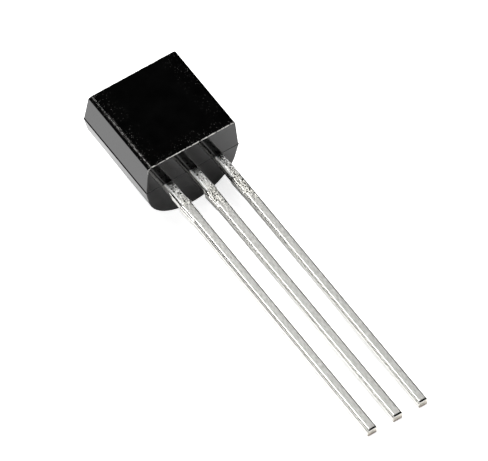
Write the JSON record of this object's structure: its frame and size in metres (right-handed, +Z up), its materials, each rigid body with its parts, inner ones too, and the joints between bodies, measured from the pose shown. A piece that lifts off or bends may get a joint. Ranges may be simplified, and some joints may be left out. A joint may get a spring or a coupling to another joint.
{
  "type": "to-92 transistor",
  "caption": "Small-signal transistor in a half-round moulded epoxy case with a flat side and straight flat tinned leads, lying flat side up.",
  "frame": {"origin": "on the surface that the part lies on, under the middle of the part's overall box", "axes": "+X across the row of leads, from the collector to the emitter; +Y from the lead ends towards the closed end of the case; +Z up, out of the flat side, which is tilted 8 degrees"},
  "size_m": [0.0046, 0.0194, 0.0046],
  "materials": {
    "case_epoxy": "glossy black moulded epoxy with a polished mould's surface",
    "lead_tin": "bright tin plate over a copper alloy strip, bare copper at the sheared ends",
    "attach_silver": "matt silver-filled die attach",
    "die_silicon": "polished silicon with metal bond pads",
    "bond_gold": "drawn gold bond wire"
  },
  "bodies": {
    "root": {"case": "case_epoxy", "collector_lead": "lead_tin", "base_lead": "lead_tin", "emitter_lead": "lead_tin", "die_attach": "attach_silver", "die": "die_silicon", "base_wire": "bond_gold", "emitter_wire": "bond_gold"}
  },
  "joints": []
}
